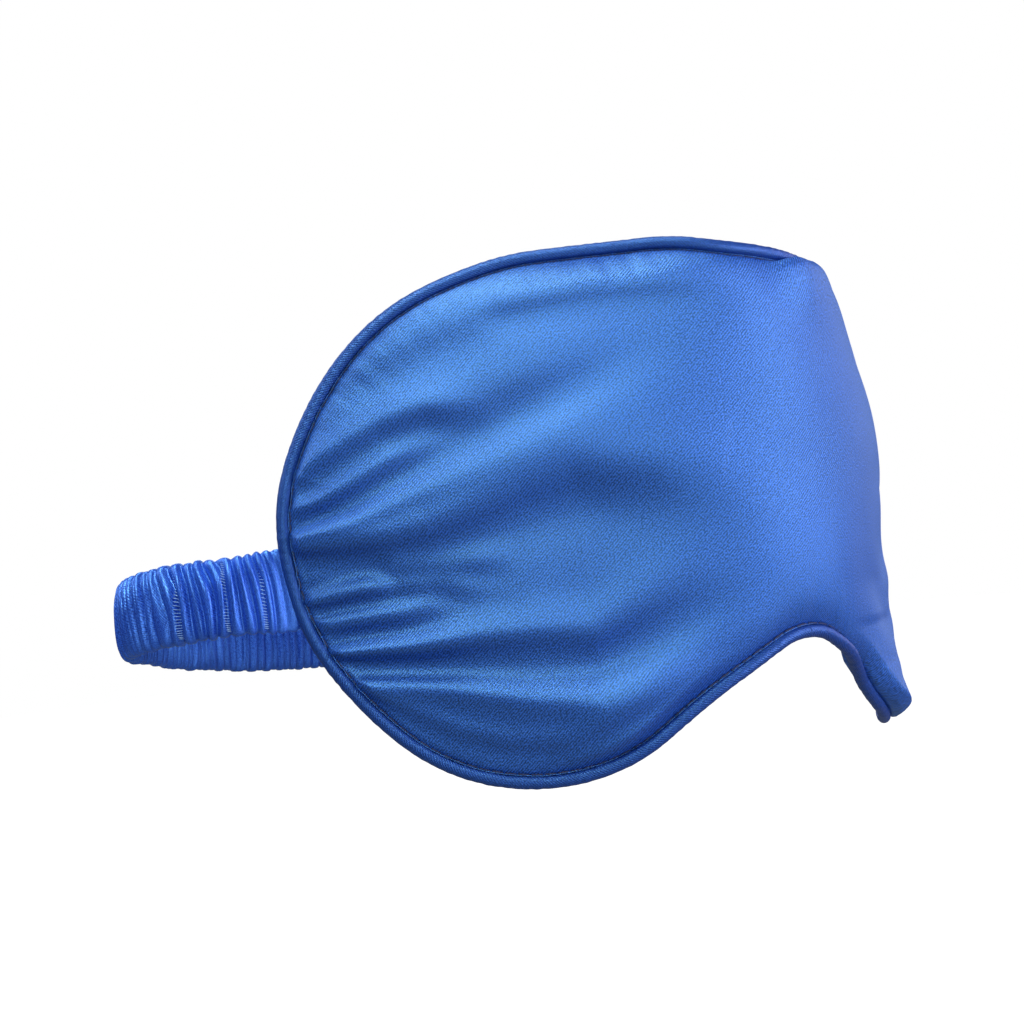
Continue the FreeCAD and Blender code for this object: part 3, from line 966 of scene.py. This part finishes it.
def make_strap(satin, elastic, thread):
    """The ruffled sleeve, its elastic and its stitches. Each is split into an end part, at the sewn ends,
    and a main part between them."""
    line, outward, run, near = strap_path(SLEEVE_RINGS)
    rings, ridge, angle = sleeve_rings(line, outward, run, near)
    level = ridge.mean(1)
    half = SLEEVE_RINGS // 2
    near_split = np.flatnonzero(np.abs(line[:, 1] - SPLIT_Y / MM) < SPLIT_SPAN)
    cut_near = min((int(i) for i in near_split if i < half), key=lambda i: level[i])
    cut_far = min((int(i) for i in near_split if i >= half), key=lambda i: level[i])
    pattern = pairs(run * 2.2, angle * 6.0)

    def sleeve(name, spans):
        parts = []
        for low, high in spans:
            flat = np.tile(pattern[low:high + 1].reshape(-1, 2), (2, 1))
            parts.append((*shell_part(rings, low, high), flat))
        return joined(name, parts, satin)

    face = [(6, 0.4), (5.6, 0.5), (-5.6, 0.5), (-6, 0.4)]
    square = np.array(face + [(-high, -deep) for high, deep in face])
    rib = 0.06 * np.sin(run * 2 * math.pi / RIB_STEP)

    def band(name, spans):
        parts = []
        for low, high in spans:
            count = high - low + 1
            depth = square[None, :, 1] * (1 + rib[low:high + 1, None])
            points = line[low:high + 1, None] + outward[low:high + 1, None] * depth[..., None]
            points[..., 2] += square[None, :, 0]
            faces = tube_faces(count, len(square), False) + end_faces(count, len(square))
            flat = pairs(run[low:high + 1], square[:, 0]).reshape(-1, 2)
            parts.append((points.reshape(-1, 3) * MM, faces, flat))
        return joined(name, parts, elastic)

    ends = [(0, cut_near), (cut_far, SLEEVE_RINGS - 1)]
    main = [(cut_near, cut_far)]
    return {
        "sleeve_ends": sleeve("sleeve_ends", ends),
        "sleeve_main": sleeve("sleeve_main", main),
        "elastic_ends": band("elastic_ends", ends),
        "elastic_main": band("elastic_main", main),
        "sleeve_seam": make_sleeve_seam(rings, ridge, cut_near, cut_far, thread),
        "strap_end_seam": make_end_seam(rings, ridge, near, thread),
    }


def gather_seam(rings, ridge, ring):
    """A row of short overlock stitches down the side of the gather nearest to a ring."""
    around = rings.shape[1]
    ring = max(range(ring - 7, ring + 8), key=lambda i: ridge[i, around // 4]) + 2
    parts = []
    for i in range(GATHER_STITCHES):
        k = around * (0.08 + 0.34 * i / GATHER_STITCHES)
        lower, upper = int(k), int(k) + 1
        blend = k - lower
        here, there = rings[[ring, ring + 5], lower] * (1 - blend) + rings[[ring, ring + 5], upper] * blend
        parts.append(stitch(here, there - [0, 0, 0.4 * MM], GATHER_THREAD * MM, 5))
    return parts


def make_sleeve_seam(rings, ridge, low, high, thread):
    """Rows of stitches down a few gathers of the outer face."""
    parts = []
    for share in SEAM_GATHERS:
        parts += gather_seam(rings, ridge, int(low + share * (high - low)))
    return joined("sleeve_seam", parts, thread)


def make_end_seam(rings, ridge, near, thread):
    """A zigzag of thread across each end of the strap, where it is sewn to the mask, and rows of
    stitches down a few gathers beside the end at -X."""
    parts = []
    for run in END_GATHERS:
        parts += gather_seam(rings, ridge, len(near) - int(np.searchsorted(near[:len(near) // 2], run)))
    around = rings.shape[1]
    for ring, step in ((3, 4), (rings.shape[0] - 4, -4)):
        for face in (0.25, 0.75):
            for i in range(END_STITCHES):
                low = (face - 0.17 + 0.34 * i / END_STITCHES) * around
                high = (face - 0.17 + 0.34 * (i + 1) / END_STITCHES) * around
                first = rings[ring + (step if i % 2 else 0), int(low) % around]
                last = rings[ring + (0 if i % 2 else step), int(high) % around]
                parts.append(stitch(first, last, END_THREAD * MM, 5))
    return joined("strap_end_seam", parts, thread)


# ---- materials

def node(tree, kind, **values):
    """A shader node with some of its settings or sockets set."""
    made = tree.nodes.new(kind)
    for key, value in values.items():
        if key in made.inputs:
            made.inputs[key].default_value = value
        else:
            setattr(made, key, value)
    return made


def new_material(name, sockets):
    """A material, its node tree and its shader, with these sockets of the shader set."""
    material = bpy.data.materials.new(name)
    material.use_nodes = True
    shader = material.node_tree.nodes["Principled BSDF"]
    for key, value in sockets.items():
        shader.inputs[key].default_value = value
    return material, material.node_tree, shader


def multiply_add(tree, value, factor, added):
    """The output of a node that multiplies a socket and adds a number or another socket."""
    made = node(tree, "ShaderNodeMath", operation="MULTIPLY_ADD")
    tree.links.new(value, made.inputs[0])
    made.inputs[1].default_value = factor
    if isinstance(added, float):
        made.inputs[2].default_value = added
    else:
        tree.links.new(added, made.inputs[2])
    return made.outputs[0]


def between(tree, level, first, second):
    """The output of a node that goes from one colour to another with a socket's level."""
    made = node(tree, "ShaderNodeMix", data_type="RGBA")
    made.inputs[6].default_value = (*first, 1)
    made.inputs[7].default_value = (*second, 1)
    tree.links.new(level, made.inputs[0])
    return made.outputs[2]


def fabric(
    name, dark, light, metallic, roughness, anisotropy=0.0, sheen=0.0, step=0.5, turn=45.0, depth=0.05,
    gloss=None
):
    """Cloth: a weave in relief and colour, turned by some degrees, with its threads step apart and
    depth high, fine specks and slow colour variation. gloss is the tint of a glossy cloth's shine."""
    sockets = {
        "Metallic": metallic, "Roughness": roughness, "Anisotropic": anisotropy,
        "Sheen Weight": sheen, "Sheen Roughness": 0.5,
    }
    if gloss:
        sockets |= {"IOR": 2.0, "Specular Tint": (*gloss, 1)}
    material, tree, shader = new_material(name, sockets)
    link = tree.links.new
    cloth = node(tree, "ShaderNodeUVMap", uv_map="pattern")
    turned = node(tree, "ShaderNodeMapping", Rotation=(0, 0, math.radians(turn)))
    link(cloth.outputs[0], turned.inputs[0])
    scale = WAVE_SCALE / (step / PATTERN_UNIT)
    weave = node(tree, "ShaderNodeTexWave", Scale=scale, Distortion=0.6, Detail=1.0)
    weave.inputs["Detail Scale"].default_value = 1.5
    link(turned.outputs[0], weave.inputs[0])
    slow = node(tree, "ShaderNodeTexNoise", Scale=2.2, Detail=3.0)
    link(cloth.outputs[0], slow.inputs[0])
    fine = node(tree, "ShaderNodeTexNoise", Scale=260.0, Detail=1.5)
    link(cloth.outputs[0], fine.inputs[0])
    specks = multiply_add(tree, fine.outputs[0], 3.4, -1.8)
    woven = multiply_add(tree, weave.outputs["Fac"], 0.8, specks)
    mixed = multiply_add(tree, slow.outputs[0], 0.4, woven)
    link(between(tree, mixed, dark, light), shader.inputs["Base Color"])
    bump = node(tree, "ShaderNodeBump", Strength=0.8, Distance=depth * MM)
    link(multiply_add(tree, fine.outputs[0], 2.5, weave.outputs["Fac"]), bump.inputs["Height"])
    link(bump.outputs[0], shader.inputs["Normal"])
    return material


def seen_level(tree, socket, hidden, seen):
    """Sets a socket to one value as the eye sees it and to another for what it lights."""
    path = node(tree, "ShaderNodeLightPath")
    level = node(tree, "ShaderNodeMapRange")
    level.inputs["To Min"].default_value = hidden
    level.inputs["To Max"].default_value = seen
    tree.links.new(path.outputs["Is Camera Ray"], level.inputs["Value"])
    tree.links.new(level.outputs[0], socket)


def pale(name, colour, grain):
    """A plain pale studio surface with a slight grain, which throws little light back."""
    sockets = {"Roughness": 0.9, "Emission Color": (1, 1, 1, 1)}
    material, tree, shader = new_material(name, sockets)
    seen_level(tree, shader.inputs["Emission Strength"], 0.0, FLOOR_GLOW)
    noise = node(tree, "ShaderNodeTexNoise", Scale=grain)
    paint = between(tree, noise.outputs[0], colour, [c * 0.985 for c in colour])
    dim = node(tree, "ShaderNodeMix", data_type="RGBA")
    dim.inputs[6].default_value = (*[FLOOR_BOUNCE] * 3, 1)
    seen_level(tree, dim.inputs[0], 0.0, 1.0)
    tree.links.new(paint, dim.inputs[7])
    tree.links.new(dim.outputs[2], shader.inputs["Base Color"])
    return material


# ---- studio

def aimed(location, target):
    """A matrix that puts a camera or a light at location and points it at target."""
    aim = Vector(target) - Vector(location)
    return Matrix.Translation(location) @ aim.to_track_quat("-Z", "Y").to_matrix().to_4x4()


def make_camera():
    """The camera at the photograph's angle, a little below the middle and rolled."""
    data = bpy.data.cameras.new("camera")
    data.sensor_width = 36
    data.lens = CAMERA_LENS
    data.clip_start = 0.01
    data.clip_end = 50
    camera = new_object("camera", data)
    camera.matrix_world = aimed(CAMERA_PLACE, CAMERA_TARGET) @ Matrix.Rotation(CAMERA_ROLL, 4, "Z")
    bpy.context.scene.camera = camera


def make_studio():
    """A pale floor well below the mask, a pale world and soft square lights."""
    scene = bpy.context.scene
    scene.view_settings.view_transform = "Standard"
    half = FLOOR_SIZE / 2
    corners = [(-half, -half, FLOOR), (half, -half, FLOOR), (half, half, FLOOR), (-half, half, FLOOR)]
    floor = new_piece("floor", corners, [(0, 1, 2, 3)], pale("floor_paint", (0.93, 0.93, 0.93), 3.0))
    world = bpy.data.worlds.new("studio")
    world.use_nodes = True
    background = world.node_tree.nodes["Background"]
    background.inputs[0].default_value = (1, 1, 1, 1)
    seen_level(world.node_tree, background.inputs[1], WORLD_LIGHT, 1.0)
    scene.world = world
    for name, location, size, power, colour in LIGHTS:
        data = bpy.data.lights.new(name, "AREA")
        data.shape = "SQUARE"
        data.size = size
        data.energy = power
        data.color = colour
        new_object(name, data).matrix_world = aimed(location, LIGHT_TARGET)


# ---- assembly

def put(piece, slot_name, *nodes):
    """Hides the CAD nodes that a piece stands for; the piece and the finish's name are not used."""
    if nodes:
        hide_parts(*nodes)


SHINE = (0.3, 0.76, 0.9)
PIPING_SHINE = (0.2, 0.5, 1.0)
SATIN_DARK = (0.002, 0.014, 0.13)
SATIN_LIGHT = (0.021, 0.092, 0.52)
front_satin = fabric("front_satin", SATIN_DARK, SATIN_LIGHT, 0.3, 0.46, 0.3, gloss=SHINE)
lining_satin = fabric("lining_satin", SATIN_DARK, SATIN_LIGHT, 0.3, 0.46, 0.3, gloss=SHINE)
# Piping satin: darker than the covers' satin, partly the piping's own navy and partly painted shade of the
# groove it lies in
piping_satin = fabric(
    "piping_satin", (0.003, 0.016, 0.13), (0.009, 0.040, 0.27), 0.25, 0.42, 0.3, 0.0, 0.45,
    gloss=PIPING_SHINE
)
strap_satin = fabric(
    "strap_satin", (0.007, 0.028, 0.31), (0.03, 0.11, 0.68), 0.35, 0.27, 0.2, 0.0, 0.35, 60, 0.02,
    gloss=SHINE
)
wadding = fabric("wadding", (0.82, 0.82, 0.8), (0.93, 0.93, 0.91), 0.0, 0.95, 0.0, 0.3, 2.5, 20, 0.3)
blackout = fabric("blackout_fabric", (0.012, 0.012, 0.016), (0.03, 0.03, 0.04), 0.0, 0.85, 0.0, 0.1, 0.6, 0)
cotton = fabric("cotton_cord", (0.74, 0.71, 0.63), (0.88, 0.86, 0.8), 0.0, 0.9, 0.0, 0.2, 0.8, 30)
elastic = fabric("elastic", (0.05, 0.14, 0.4), (0.09, 0.22, 0.56), 0.0, 0.7, 0.0, 0.1, 1.0, 0)
thread = fabric("thread", (0.12, 0.26, 0.62), (0.3, 0.5, 0.88), 0.2, 0.45, 0.0, 0.1, 0.3, 60)
# Edge seam thread: real stitches, coloured near-black as painted shade of the groove beside the piping
seam_thread_painted_shade = fabric("seam_thread_painted_shade", (0.002, 0.008, 0.05), (0.005, 0.02, 0.11), 0.0, 0.7, 0.0, 0.0, 0.3, 60)

front_cover, lining_cover = make_covers(front_satin, lining_satin)
pad_front, blackout_cloth, pad_back = make_layers(wadding, blackout)
piping_sleeve, piping_core = make_piping(piping_satin, cotton)
edge_seam = make_edge_stitches(seam_thread_painted_shade)
strap = make_strap(strap_satin, elastic, thread)

put(front_cover, "front_satin", "front_cover")
put(lining_cover, "lining_satin", "lining")
put(pad_front, "wadding", "front_wadding")
put(pad_back, "wadding", "back_wadding")
put(blackout_cloth, "blackout_fabric", "blackout_layer")
put(piping_sleeve, "piping_satin", "piping_cover")
put(piping_core, "cotton_cord", "piping_cord")
put(edge_seam, "thread", "edge_stitches")
put(strap["sleeve_main"], "strap_satin", "strap_sleeve")
put(strap["sleeve_ends"], "strap_satin")
put(strap["elastic_main"], "elastic", "elastic_band")
put(strap["elastic_ends"], "elastic")
put(strap["sleeve_seam"], "thread", "sleeve_stitches")
put(strap["strap_end_seam"], "thread", "strap_end_stitches")

layers = (pad_front, pad_back, blackout_cloth)
for piece in (front_cover, lining_cover, *layers, piping_sleeve, piping_core, edge_seam):
    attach(piece, "mask")
for name in ("sleeve_ends", "elastic_ends", "strap_end_seam"):
    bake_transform(strap[name])
for name in ("sleeve_main", "elastic_main", "sleeve_seam"):
    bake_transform(strap[name])

make_studio()
make_camera()
